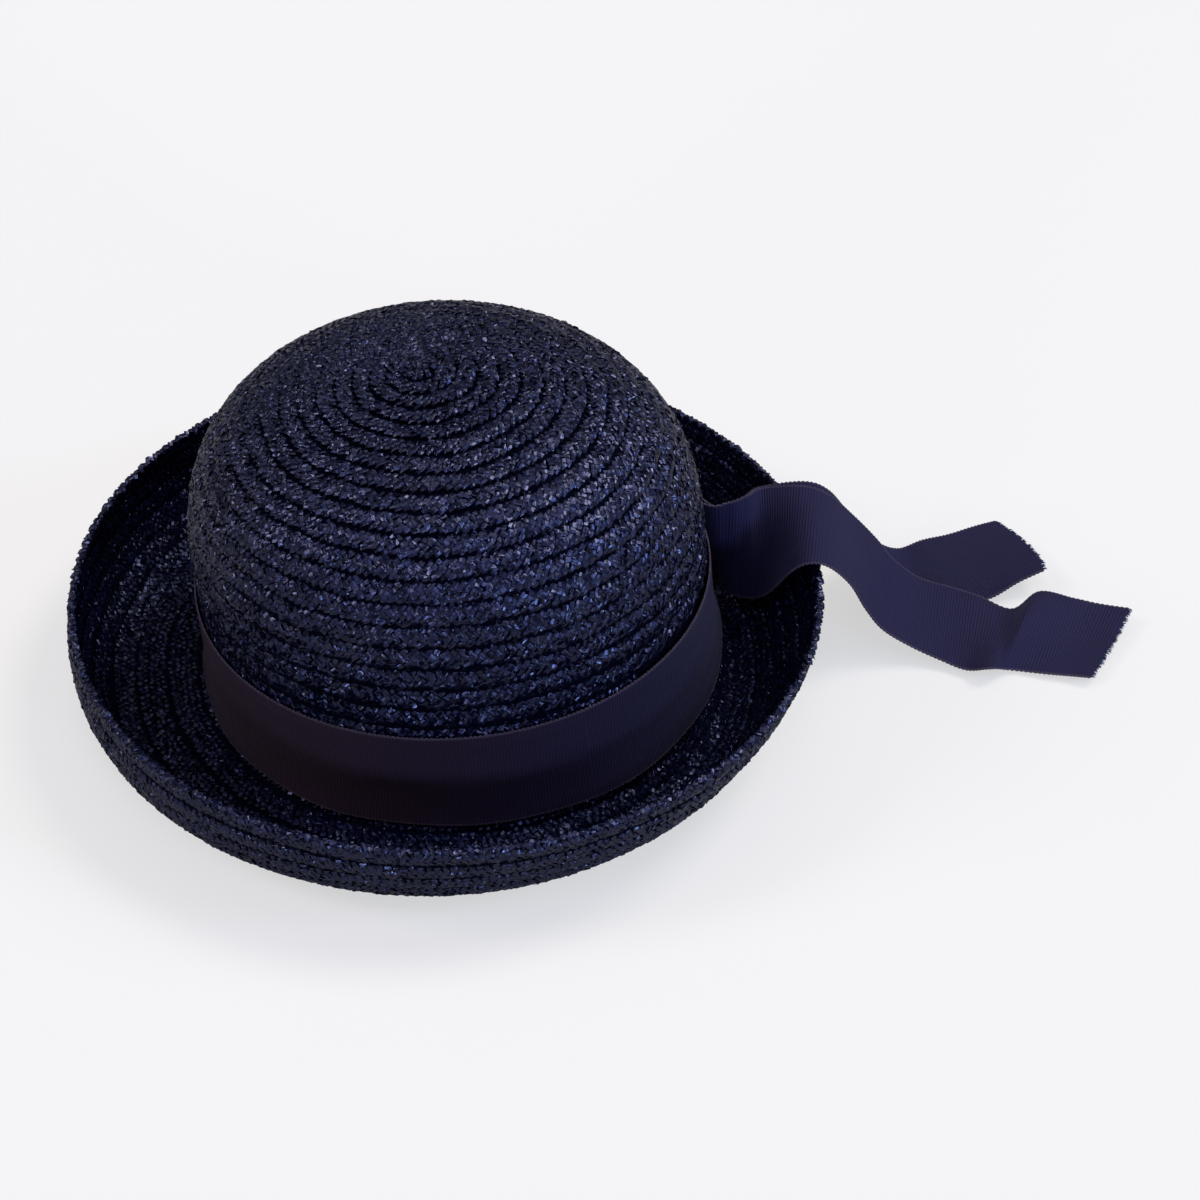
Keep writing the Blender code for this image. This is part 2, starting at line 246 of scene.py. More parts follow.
def linear(code):
    """An sRGB hex colour as linear red, green and blue."""
    parts = [int(code[i:i + 2], 16) / 255 for i in (1, 3, 5)]
    return tuple(p / 12.92 if p <= 0.04045 else ((p + 0.055) / 1.055) ** 2.4 for p in parts)


def length_setting(name, default, text):
    return bpy.props.FloatProperty(name=name, description=text, default=default,
                                   unit="LENGTH", precision=5)


def share_setting(name, default, text):
    return bpy.props.FloatProperty(name=name, description=text, default=default,
                                   subtype="FACTOR", min=0.0, max=1.0)


def colour_setting(name, code, text):
    return bpy.props.FloatVectorProperty(name=name, description=text, default=linear(code),
                                         subtype="COLOR", min=0.0, max=1.0)


class StrawSettings(bpy.types.PropertyGroup):
    """Sizes and colours of the straw braid."""
    strand_pitch: length_setting(
        "Strand pitch", 0.0027, "Spacing of the strands along a row of braid")
    strand_width: length_setting("Strand width", 0.0020, "Width of one flattened straw strand")
    strand_height: length_setting(
        "Strand height", 0.0006, "How far a strand humps up between its crossings")
    row_lap: length_setting("Row lap", 0.0012, "How far a row's edge stands over the next row")
    row_bulge: length_setting(
        "Row bulge", 0.00045, "How far the middle of a row stands over its edges")
    row_gap: length_setting("Row gap", 0.00025, "Gap left between the strands of two rows")
    lining_pitch: length_setting(
        "Inside strand pitch", 0.0037, "Spacing of the strands on the inside of the crown")
    outer_gloss: share_setting("Outer gloss", 0.9, "How strongly the straw reflects outside")
    inner_gloss: share_setting(
        "Inner gloss", 0.42, "How strongly the duller straw inside the brim and crown reflects")
    dark: colour_setting("Dark straw", "#030517", "Dyed straw at its darkest")
    light: colour_setting("Light straw", "#0e1130", "Dyed straw at its palest")


class RibbonSettings(bpy.types.PropertyGroup):
    """Sizes and colours of the grosgrain ribbon."""
    thickness: length_setting("Thickness", 0.0006, "Thickness of the ribbon")
    rib_pitch: length_setting("Rib pitch", 0.0008, "Spacing of the ribs across the ribbon")
    rib_drawn: length_setting(
        "Drawn rib pitch", 0.0011, "Spacing at which the ribs are drawn, coarse enough to show")
    picot: length_setting("Edge loops", 0.00045, "How far the loops of the edge stand out")
    tail_colour: colour_setting("Tail colour", "#272340", "Colour of the tails")
    # The band turns from the first colour to the second towards one side
    band_colour: colour_setting(
        "Band colour", "#1f1b33", "Colour of the band on its bluer side")
    band_browner: colour_setting("Browner band", "#33212c", "Colour of the band on its browner side")
    # Painted highlight on the frayed threads
    thread_highlight_colour: colour_setting(
        "Frayed thread highlight", "#304c7c", "Colour of the loose threads at the cut ends")
    # Painted highlight on the ribbon's edge loops
    edge_highlight_colour: colour_setting(
        "Edge loop highlight", "#5a4d58", "Colour of the loops along the ribbon's edges")


class StageSettings(bpy.types.PropertyGroup):
    """The floor and the light."""
    floor: colour_setting("Floor", "#aaa598", "Plain pale floor, before its own glow")
    floor_light: colour_setting("Pale floor", "#aba699", "The floor where its grain is palest")
    glow: share_setting("Floor glow", 0.6, "How brightly the floor glows where it is seen")
    mirrored: share_setting("Mirrored glow", 0.1, "Share of that glow which the straw mirrors")
    sky: share_setting("Sky", 0.1, "Light from all round")


# Surfaces, worked out for many points at once

def heading(angle):
    """Level ways of length one, at angles counted from +X."""
    angle = np.radians(angle)
    return np.stack((np.cos(angle), np.sin(angle), np.zeros_like(angle)), -1)


LONG_SIDE = heading(LONG_SIDE_TURN)
SHORT_SIDE = heading(LONG_SIDE_TURN + 90)
LEAN_AXIS = Vector((0, 0, 1)).cross(Vector(heading(LEAN_TOWARDS)))
TILT = np.array(Matrix.Rotation(math.radians(LEAN), 3, LEAN_AXIS))
UP = np.array((0.0, 0.0, 1.0))


def unit(vectors):
    return vectors / np.linalg.norm(vectors, axis=-1, keepdims=True)


def smooth_columns(rows, samples):
    """Every column of a table, read at even steps between its rows with no overshoot."""
    count = len(rows)
    places = np.linspace(0, count - 1, (count - 1) * samples + 1)
    first = np.minimum(places.astype(int), count - 2)
    part = places - first
    columns = []
    for column in np.array(rows).T:
        steps = np.diff(column)
        same_way = steps[:-1] * steps[1:] > 0
        total = np.where(same_way, steps[:-1] + steps[1:], 1.0)
        middle = np.where(same_way, 2 * steps[:-1] * steps[1:] / total, 0.0)
        slopes = np.concatenate((steps[:1], middle, steps[-1:]))
        columns.append((1 + 2 * part) * (1 - part) ** 2 * column[first]
                       + part * part * (3 - 2 * part) * column[first + 1]
                       + part * (1 - part) ** 2 * slopes[first]
                       + part * part * (part - 1) * slopes[first + 1])
    return columns


def lean(points):
    """Tip points of the upright crown over, about the middle of its foot."""
    pivot = UP * FOOT_HEIGHT
    return (points - pivot) @ TILT.T + pivot


def oval(turn, long_half, short_half):
    """Points of a level oval about the origin, and the ways out of it there."""
    angle = np.radians(turn - LONG_SIDE_TURN)
    across, along = np.cos(angle)[..., None], np.sin(angle)[..., None]
    long_half = np.asarray(long_half)[..., None]
    short_half = np.asarray(short_half)[..., None]
    point = LONG_SIDE * (long_half * across) + SHORT_SIDE * (short_half * along)
    away = LONG_SIDE * (short_half * across) + SHORT_SIDE * (long_half * along)
    return point, unit(away)


def crown_outline(samples=240):
    """Distance down the crown, share of its radius, and height, from its tip to its foot."""
    dome = CROWN_HEIGHT - SHOULDER_HEIGHT
    # The power only evens out the steps
    rise = np.append(np.cos(np.pi / 2 * np.arange(samples) / samples) ** 0.8, 0.0)
    share = (1 - rise ** SHOULDER_POWER) ** (1 / SIDE_POWER)
    height = np.append(SHOULDER_HEIGHT + dome * rise, FOOT_HEIGHT)
    share = np.append(share, 1.0)
    steps = np.hypot(np.diff(share) * CROWN_RADIUS, np.diff(height))
    return np.append(0.0, np.cumsum(steps)), share, height


CROWN_DOWN, CROWN_SHARE, CROWN_UP = crown_outline()


def crown_surface(turn, down, lift):
    """Points of the crown at a distance down from its top, lifted off its outermost face."""
    turn, down, lift = np.broadcast_arrays(turn, down, lift)
    share = np.interp(down, CROWN_DOWN, CROWN_SHARE)
    outward = -np.interp(down, CROWN_DOWN, np.gradient(CROWN_UP, CROWN_DOWN))
    upward = np.interp(down, CROWN_DOWN, np.gradient(CROWN_SHARE, CROWN_DOWN)) * CROWN_RADIUS
    # At the very tip the oval keeps a trace of its size, so that it has a way out
    trace = np.maximum(share, 1e-4)
    point, away = oval(turn, CROWN_LONG * trace, CROWN_SHORT * trace)
    shift = TOP_SHIFT * (1 - share) ** TOP_SHIFT_POWER
    point = point + heading(TOP_SHIFT_TOWARDS) * shift[..., None]
    point = point + UP * np.interp(down, CROWN_DOWN, CROWN_UP)[..., None]
    normal = unit(away * outward[..., None] + UP * upward[..., None])
    return lean(point + normal * lift[..., None]) + HAT_BASE


def lip_point(turn):
    """Points of the lip, and the ways out of it there."""
    point, away = oval(turn, LIP_LONG, LIP_SHORT)
    point = point + heading(BRIM_SHIFT_TOWARDS) * BRIM_SHIFT
    angle = np.radians(turn - LONG_SIDE_TURN)
    height = LIP_HEIGHT + LIP_TILT * np.cos(angle) + LIP_SADDLE * np.cos(2 * angle)
    return point + UP * height[..., None], away


def brim_outline(samples=24):
    """Distance along the brim from its foot, with the columns of its table there."""
    out, height, shift = smooth_columns(BRIM_PROFILE, samples)
    breadth = (LIP_LONG + LIP_SHORT - CROWN_LONG - CROWN_SHORT) / 2 + ROW_RISE
    steps = np.hypot(np.diff(out) * breadth, np.diff(height) * (LIP_HEIGHT - FACE_HEIGHT))
    return np.append(0.0, np.cumsum(steps)), out, height, shift


BRIM_ALONG, BRIM_OUT, BRIM_UP, BRIM_ROLL = brim_outline()
BRIM_REACH = BRIM_ALONG[-1]


def brim_face(turn, along):
    """Points of the brim's upper face at a distance from its foot, and the ways out there."""
    out = np.interp(along, BRIM_ALONG, BRIM_OUT)
    height = np.interp(along, BRIM_ALONG, BRIM_UP)
    roll = np.interp(along, BRIM_ALONG, BRIM_ROLL)
    foot, side = oval(turn, CROWN_LONG, CROWN_SHORT)
    foot = lean(foot - side * ROW_RISE + UP * FOOT_HEIGHT)
    lip, away = lip_point(turn)
    point = foot + (lip - foot) * out[..., None]
    point = point + heading(ROLL_SHIFT_TOWARDS) * (ROLL_SHIFT * roll)[..., None]
    blend = np.maximum(0.0, 1 - out / FOOT_BLEND) ** FOOT_BLEND_POWER
    top = lip[..., 2] - FACE_HEIGHT
    start = FACE_HEIGHT + BRIM_PROFILE[0][1] * top
    point[..., 2] = FACE_HEIGHT + height * top + (foot[..., 2] - CLEARANCE - start) * blend
    return point, away


def brim_surface(turn, along, lift):
    """Points of the brim at a distance from its foot, lifted off its upper face."""
    turn, along, lift = np.broadcast_arrays(turn, along, lift)
    step = 0.0005
    inside = np.clip(along, step, BRIM_REACH - step)
    here, away = brim_face(turn, np.clip(along, 0.0, BRIM_REACH))
    way = brim_face(turn, inside + step)[0] - brim_face(turn, inside - step)[0]
    run = (way * away).sum(-1)
    normal = unit(UP * run[..., None] - away * way[..., 2:3])
    past = np.maximum(along - BRIM_REACH, 0.0)
    return here + unit(way) * past[..., None] + normal * lift[..., None] + HAT_BASE


def band_surface(turn, share, lift):
    """Points of the band from its lower edge to its upper one, lifted off its inner face."""
    turn, share, lift = np.broadcast_arrays(turn, share, lift)
    up, flare = smooth_columns(BAND_PROFILE, 24)
    even = np.interp(share, up, flare)
    point, away = oval(turn, CROWN_LONG, CROWN_SHORT)
    ripple = sum(height * np.sin(np.radians(turn) * waves + shift)
                 for height, waves, shift in BAND_RIPPLE)
    out = CLEARANCE + BAND_FLARE * even + (ripple + BAND_EDGE_STAND) * (1 - share) ** 2 + lift
    height = BAND_EDGE_HEIGHT + RIBBON_WIDTH * share
    point = point + away * out[..., None] + UP * height[..., None]
    return lean(point) + HAT_BASE


def tail_lines(table):
    """Both ends of each crossways line of a tail."""
    turn, out, lift, lie, stand = np.array(table).T
    foot, away = oval(turn, CROWN_LONG, CROWN_SHORT)
    foot = foot + away * TAIL_STAND
    lip, _ = lip_point(turn)
    low = foot + (lip - foot) * out[:, None]
    low[:, 2] = lift * lip[:, 2]
    slope = np.radians(stand)[:, None]
    way = heading(lie) * np.cos(slope) + UP * np.sin(slope)
    return low + HAT_BASE, low + way * RIBBON_WIDTH + HAT_BASE


def through(points, places):
    """A smooth curve through the points, read at many places."""
    ends = np.concatenate((points[:1] * 2 - points[1:2], points, points[-1:] * 2 - points[-2:-1]))
    first = np.minimum(places.astype(int), len(points) - 2)
    part = (places - first)[:, None]
    before, a, b, after = (ends[first + i] for i in range(4))
    return ((1 + 2 * part) * (1 - part) ** 2 * a + part * part * (3 - 2 * part) * b
            + (b - before) / 2 * part * (1 - part) ** 2
            + (after - a) / 2 * part * part * (part - 1))


def fold_rise(folds, at, share):
    """How far folds lift the middle of a ribbon: a slope up to a sharp ridge, then a soft fall."""
    rise = np.zeros(len(at))
    for low, high, low_breadth, high_breadth, most in folds:
        breadth = low_breadth + (high_breadth - low_breadth) * share
        past = (at - low - (high - low) * share) / breadth
        fall = np.exp(-((past - 1) / FOLD_FALL) ** 2)
        rise += most * np.where(past < 1, np.clip(past, 0, 1), fall)
    return rise * (1 - (2 * share - 1) ** 2)


# Making meshes

def deselect():
    if bpy.context.object and bpy.context.object.mode != "OBJECT":
        bpy.ops.object.mode_set(mode="OBJECT")
    bpy.ops.object.select_all(action="DESELECT")


def only(item):
    deselect()
    item.select_set(True)
    bpy.context.view_layer.objects.active = item


def finish_piece(item, name, material, slot, *nodes):
    """Name a piece, give it its finish and tie it to the frame."""
    item.name = item.data.name = name
    item.data.materials.clear()
    item.data.materials.append(material)
    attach(item, "root")
    if nodes:
        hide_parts(*nodes)


def point_places(mesh):
    points = np.empty(len(mesh.vertices) * 3)
    mesh.vertices.foreach_get("co", points)
    return points.reshape(-1, 3)


def add_grid(columns, rows):
    """A new flat grid, and the places of its points as shares of its sides."""
    deselect()
    bpy.ops.mesh.primitive_grid_add(x_subdivisions=columns, y_subdivisions=rows, size=1.0)
    item = bpy.context.object
    return item, point_places(item.data) + 0.5


def add_strand():
    """One flat straw strand between two crossings, dipping at both ends and closed below."""
    item, _ = add_grid(3, 1)
    for vert in item.data.vertices:
        tip = abs(vert.co.x) > 0.4
        vert.co = (vert.co.x if tip else vert.co.x * STRAND_MIDDLE,
                   vert.co.y * (STRAND_TIP_WIDTH if tip else 1.0),
                   STRAND_DIP if tip else STRAND_HUMP)
    bpy.ops.object.mode_set(mode="EDIT")
    bpy.ops.mesh.select_all(action="SELECT")
    bpy.ops.mesh.region_to_loop()
    bpy.ops.mesh.edge_face_add()
    bpy.ops.mesh.select_all(action="SELECT")
    bpy.ops.mesh.normals_make_consistent(inside=False)
    bpy.ops.object.mode_set(mode="OBJECT")
    mesh = item.data
    points = point_places(mesh)
    faces = [tuple(face.vertices) for face in mesh.polygons]
    bpy.data.objects.remove(item, do_unlink=True)
    bpy.data.meshes.remove(mesh)
    return points, faces


def copies(places, faces, uv, shade):
    """One mesh of many copies of a small shape, each with its own corners."""
    count, corners = places.shape[:2]
    sizes = np.array([len(face) for face in faces])
    loops = np.concatenate([np.array(face) for face in faces])
    index = (loops[None, :] + np.arange(count)[:, None] * corners).ravel()
    totals = np.tile(sizes, count)
    mesh = bpy.data.meshes.new("strands")
    mesh.vertices.add(count * corners)
    mesh.vertices.foreach_set("co", places.ravel())
    mesh.loops.add(len(index))
    mesh.loops.foreach_set("vertex_index", index)
    mesh.polygons.add(len(totals))
    mesh.polygons.foreach_set("loop_start", np.concatenate(([0], np.cumsum(totals)[:-1])))
    mesh.polygons.foreach_set("loop_total", totals)
    layer = mesh.uv_layers.new(name="strand")
    layer.data.foreach_set("uv", uv.reshape(-1, 2)[index].ravel())
    tone = mesh.attributes.new("shade", "FLOAT", "POINT")
    tone.data.foreach_set("value", np.repeat(shade, corners))
    mesh.update(calc_edges=True)
    mesh.validate()
    item = bpy.data.objects.new("strands", mesh)
    bpy.context.collection.objects.link(item)
    only(item)
    bpy.ops.object.shade_smooth_by_angle(angle=math.radians(18))
    return item


def axes_at(surface, turn, down, lift, side):
    """Where each strand stands, with its ways along the row, up the row and out of the face."""
    a_bit_round, a_bit_down = 0.1, 0.0004
    here = surface(turn, down, lift)
    along = unit(surface(turn + a_bit_round, down, lift) - surface(turn - a_bit_round, down, lift))
    away = surface(turn, down + a_bit_down, lift) - surface(turn, down - a_bit_down, lift)
    out = unit(np.cross(away, along))
    up = np.cross(out, along)
    return here, along * side, up, out * side


def lay_strands(strand, spots, ways, length, width, height, angle, slopes, rng):
    """Corner places of every strand, its own map in millimetres and its shade."""
    along, up, out = ways
    count = len(spots)
    length = length * rng.normal(1.0, LENGTH_SPREAD, count)
    width = width * rng.normal(1.0, WIDTH_SPREAD, count)
    angle = angle + np.radians(rng.normal(0.0, ANGLE_SPREAD, count))
    x = strand[None, :, 0] * length[:, None]
    y = strand[None, :, 1] * width[:, None]
    tip, roll = rng.normal(0.0, slopes, (2, count, 1))
    rise = rng.normal(0.0, RISE_SPREAD, (count, 1))
    z = strand[None, :, 2] * height + tip * x + roll * y + rise
    c, s = np.cos(angle)[:, None], np.sin(angle)[:, None]
    right, ahead = x * c - y * s, x * s + y * c
    places = (spots[:, None, :] + right[..., None] * along[:, None, :]
              + ahead[..., None] * up[:, None, :] + z[..., None] * out[:, None, :])
    return places, np.stack((x, y), -1) * 1000, rng.uniform(0, 1, count)


def row_edges(rows):
    """Distances down the crown of the upper and lower edges of rows, counted round the coil."""
    top, low = (FIRST_ROW + ROW_PITCH * at + ROW_PITCH_GAIN * at * (at - 1) / 2
                for at in (rows - 1, rows))
    return np.maximum(top, 0.0), low


def coil_spots(pitch, cells, last):
    """Turn, row top, row bottom and place across the row of every strand of the crown's coil."""
    # Measured along in steps of one degree
    rows = np.arange(COIL_START, 30.0, 1 / 360)
    rows = rows[row_edges(rows)[1] < last + 0.002]
    share = np.interp(sum(row_edges(rows)) / 2, CROWN_DOWN, CROWN_SHARE)
    reach = np.cumsum(np.radians(1.0) * share * CROWN_RADIUS)
    found = []
    for cell in range(cells):
        marks = np.arange(pitch * (0.5 + 0.5 * (cell % 2)), reach[-1], pitch)
        row = np.interp(marks, reach, rows)
        found.append((FRONT_TURN + row * 360, *row_edges(row), np.full(len(row), cell)))
    return [np.concatenate(columns) for columns in zip(*found)]


def ring_spots(edges, pitch, cells):
    """The same for rows that are closed rings, as on the brim."""
    found = []
    radius = (LIP_LONG + LIP_SHORT) / 2
    for number, (top, low) in enumerate(zip(edges, edges[1:])):
        out = np.interp((top + low) / 2, BRIM_ALONG, BRIM_OUT)
        ring = CROWN_LONG + (radius - CROWN_LONG) * out
        count = round(2 * math.pi * ring / pitch)
        for cell in range(cells):
            turn = (np.arange(count) + 0.5 * (cell % 2) + RING_SHIFT * number) * 360 / count
            found.append((turn, np.full(count, top), np.full(count, low), np.full(count, cell)))
    return [np.concatenate(columns) for columns in zip(*found)]


def wobble(turn, top):
    """How far a row sewn by hand strays to either side on its way round."""
    angle = np.radians(turn)
    return sum(stray * np.sin(waves * angle + shift * top) for stray, waves, shift in ROW_WOBBLE)


def plait(surface, spots, cells, side, row, sizes, strand, seed):
    """Herringbone plait over rows of braid. Each row leans, so that one edge laps over the next.
    side is 1 for the outer or upper face and -1 for the other."""
    turn, top, low, cell = spots
    lap, bulge, gap = row
    width, height, steep, edge_steep = sizes
    rng = np.random.default_rng(seed)
    breadth = low - top
    reach = 0.5 * STRAND_OVERLAP / cells
    place = gap / breadth + reach + (1 - gap / breadth - 2 * reach) * cell / (cells - 1)
    down = top + breadth * place + wobble(turn, top) + rng.normal(0.0, PLACE_SPREAD, len(turn))
    turn = turn + rng.normal(0.0, TURN_SPREAD, len(turn))
    proud = bulge * (np.sin(np.pi * place) - 1.0)
    slope = (lap + bulge * np.pi * np.cos(np.pi * place)) / breadth
    if side > 0:
        lift = PLAIT_LIFT + proud - lap * (1 - place) - height * STRAND_SUNK
    else:
        lift = -FACE_HEIGHT - PLAIT_LIFT - proud + lap * (1 - place) + height * STRAND_SUNK
    here, along, up, out = axes_at(surface, turn, down, lift, side)
    up, out = unit(up - out * slope[:, None]), unit(out + up * slope[:, None])
    steep = np.radians(steep)
    angle = np.where(cell % 2 == 0, steep, -steep)
    # The strands that turn round a row's free edge lie nearly along it
    edge = (cell == cells - 1) | ((cell == 0) & (side < 0))
    angle = np.where(edge, np.radians(edge_steep), angle)
    length = 2 * reach * breadth / math.sin(steep)
    # The strands are narrower where the coil starts
    scale = np.clip(breadth / ROW_PITCH, 0.35, 1.0)
    points, faces = strand
    places, uv, shade = lay_strands(points, here, (along, up, out), length, width * scale, height,
                                    angle, SLOPE_SPREAD, rng)
    return copies(places, faces, uv, shade)


def thicken(item, thickness, cap, smooth):
    """Give a grid that was laid in place its thickness. Points closer than cap become one."""
    bpy.ops.object.mode_set(mode="EDIT")
    bpy.ops.mesh.select_all(action="SELECT")
    if cap:
        bpy.ops.mesh.remove_doubles(threshold=cap)
    bpy.ops.mesh.normals_make_consistent(inside=False)
    bpy.ops.object.mode_set(mode="OBJECT")
    wall = item.modifiers.new("wall", "SOLIDIFY")
    wall.thickness = thickness
    wall.offset = 0.0
    bpy.ops.object.modifier_apply(modifier=wall.name)
    bpy.ops.object.shade_smooth_by_angle(angle=math.radians(smooth))
    return item


def shell(surface, starts, ends, lift, columns, rows, cap):
    """A thin wall behind the plait: a grid laid round the hat, closed at its tip and ends."""
    item, at = add_grid(columns, rows)
    places = surface(at[:, 0] * 360, starts + (ends - starts) * (1 - at[:, 1]), lift)
    item.data.vertices.foreach_set("co", places.ravel())
    return thicken(item, CORE_THICKNESS, cap, 40.0)


def ribbon(settings, length, across, surface, cap=0.0):
    """A ribbon: a grid laid in place by the surface, with a map in millimetres. The points of
    both edges stand out in small loops, one for every two ribs."""
    loops = round(length / (settings.rib_pitch * 2))
    item, at = add_grid(loops * 4, len(across) - 1)
    mesh = item.data
    part = at[:, 0]
    share = np.array(across)[np.round(at[:, 1] * (len(across) - 1)).astype(int)]
    bulge = settings.picot * np.abs(np.sin(np.pi * part * loops)) / RIBBON_WIDTH
    edge = np.where(share == 0.0, -1.0, 0.0) + np.where(share == 1.0, 1.0, 0.0)
    mesh.vertices.foreach_set("co", surface(part, share + edge * bulge).ravel())
    index = np.empty(len(mesh.loops), dtype=np.int32)
    mesh.loops.foreach_get("vertex_index", index)
    mapped = loops * settings.rib_pitch * 2
    uv = np.stack((part * mapped, share * RIBBON_WIDTH), -1)[index] * 1000
    mesh.uv_layers[0].name = "ribbon"
    mesh.uv_layers[0].data.foreach_set("uv", uv.ravel())
    return thicken(item, settings.thickness, cap, 45.0)


# Finishes

def join(tree, node, links, sockets):
    """Set a node's sockets, and link others to an output or to another node's first output."""
    for key, value in dict(sockets).items():
        node.inputs[key].default_value = value
    for key, source in dict(links).items():
        output = source if isinstance(source, bpy.types.NodeSocket) else source.outputs[0]
        tree.links.new(output, node.inputs[key])
    return node


def add_node(tree, kind, links=(), sockets=(), **settings):
    """Add a shader node with its own settings, its links and the values of its sockets."""
    node = tree.nodes.new("ShaderNode" + kind)
    for key, value in settings.items():
        setattr(node, key, value)
    return join(tree, node, links, sockets)


def new_finish(name):
    material = bpy.data.materials.new(name)
    material.use_nodes = True
    tree = material.node_tree
    return material, tree, tree.nodes["Principled BSDF"]


def straw_finish(settings, gloss_level, facets):
    """Dyed glossy straw, plaited flat. Each strand has a crease down its middle, fine lines along
    it and small flat facets, which glint in short broken lines. The dye takes unevenly."""
    material, tree, shader = new_finish("dyed plaited straw braid")
    tone = add_node(tree, "Attribute", attribute_name="shade").outputs["Fac"]
    mm = add_node(tree, "UVMap", uv_map="strand")
    # Every strand reads another part of the patterns
    apart = add_node(tree, "VectorMath", {0: tone, 2: mm},
                     {1: (413.0, 177.0, 0.0)}, operation="MULTIPLY_ADD")
    # Facets about 2.2 mm long and 1.2 mm across
    stretch = add_node(tree, "Mapping", {"Vector": apart}, {"Scale": (0.45, 0.85, 1.0)})
    facet = add_node(tree, "TexVoronoi", {"Vector": stretch}, {"Scale": 1.0},
                     voronoi_dimensions="2D")
    # Fibres about 4 mm long and 0.6 mm across: the real ones are finer and wouldn't show
    lines = add_node(tree, "Mapping", {"Vector": apart}, {"Scale": (0.25, 1.7, 1.0)})
    fibre = add_node(tree, "TexNoise", {"Vector": lines},
                     {"Scale": 1.0, "Detail": 2.0, "Roughness": 0.6}, noise_dimensions="2D")
    either_way = add_node(tree, "VectorMath", {0: facet.outputs["Color"]},
                          {1: (0.5, 0.5, 0.5)}, operation="SUBTRACT")
    face = add_node(tree, "NewGeometry")
    place = add_node(tree, "TexCoord").outputs["Object"]
    level = add_node(tree, "SeparateXYZ", {"Vector": place})
    # The straw lies flattest near the tip of the crown
    tilt = add_node(tree, "MapRange", {"Value": level.outputs["Z"]},
                    {"From Min": 0.055, "From Max": 0.12, "To Min": facets[0], "To Max": facets[1]})
    # In patches of about 18 mm it is pressed less flat, and there it glints more
    patch = add_node(tree, "TexNoise", {"Vector": place}, {"Scale": 55.0, "Detail": 1.0})
    pressed = add_node(tree, "MapRange", {"Value": patch},
                       {"From Min": 0.35, "From Max": 0.65, "To Min": 0.65, "To Max": 1.35})
    slant = add_node(tree, "Math", {0: tilt, 1: pressed}, operation="MULTIPLY")
    tilted = add_node(tree, "VectorMath",
                      {0: either_way, 1: slant, 2: face.outputs["Normal"]},
                      operation="MULTIPLY_ADD")
    facing = add_node(tree, "VectorMath", {0: tilted}, operation="NORMALIZE")
    parts = add_node(tree, "SeparateXYZ", {"Vector": mm})
    across = add_node(tree, "Math", {0: parts.outputs["Y"]}, operation="ABSOLUTE")
    height = add_node(tree, "Math", {0: across, 2: fibre}, {1: -2.0}, operation="MULTIPLY_ADD")
    bump = add_node(tree, "Bump", {"Height": height, "Normal": facing},
                    {"Strength": 1.0, "Distance": 0.0001})
    spread = add_node(tree, "Math", {0: tone, 1: fibre}, operation="MULTIPLY")
    dye = add_node(tree, "Mix", {"Factor": spread},
                   {6: (*settings.dark, 1.0), 7: (*settings.light, 1.0)}, data_type="RGBA")
    gloss = add_node(tree, "MapRange", {"Value": tone}, {"To Min": 0.18, "To Max": 0.34})
    join(tree, shader, {"Base Color": dye.outputs[2], "Roughness": gloss, "Normal": bump},
         {"Specular IOR Level": gloss_level, "Specular Tint": (*linear("#c8ceff"), 1.0)})
    return material


def core_finish(settings):
    """The braid's inner layer, seen only between the strands: the straw behind them, painted near
    black and almost without gloss as painted shade in the gaps.
    """
    material, tree, shader = new_finish("straw in the gaps of the plait, painted dark as shade")
    place = add_node(tree, "TexCoord").outputs["Object"]
    # Grain of about 1.7 mm, a strand's width
    grain = add_node(tree, "TexNoise", {"Vector": place}, {"Scale": 600.0, "Detail": 2.0})
    # Painted shade: from near black up to the straw's darkest dye
    dye = add_node(tree, "Mix", {"Factor": grain},
                   {6: (*linear("#01010a"), 1.0), 7: (*settings.dark, 1.0)}, data_type="RGBA")
    join(tree, shader, {"Base Color": dye.outputs[2]},
         {"Roughness": 0.9, "Specular IOR Level": 0.05})
    return material


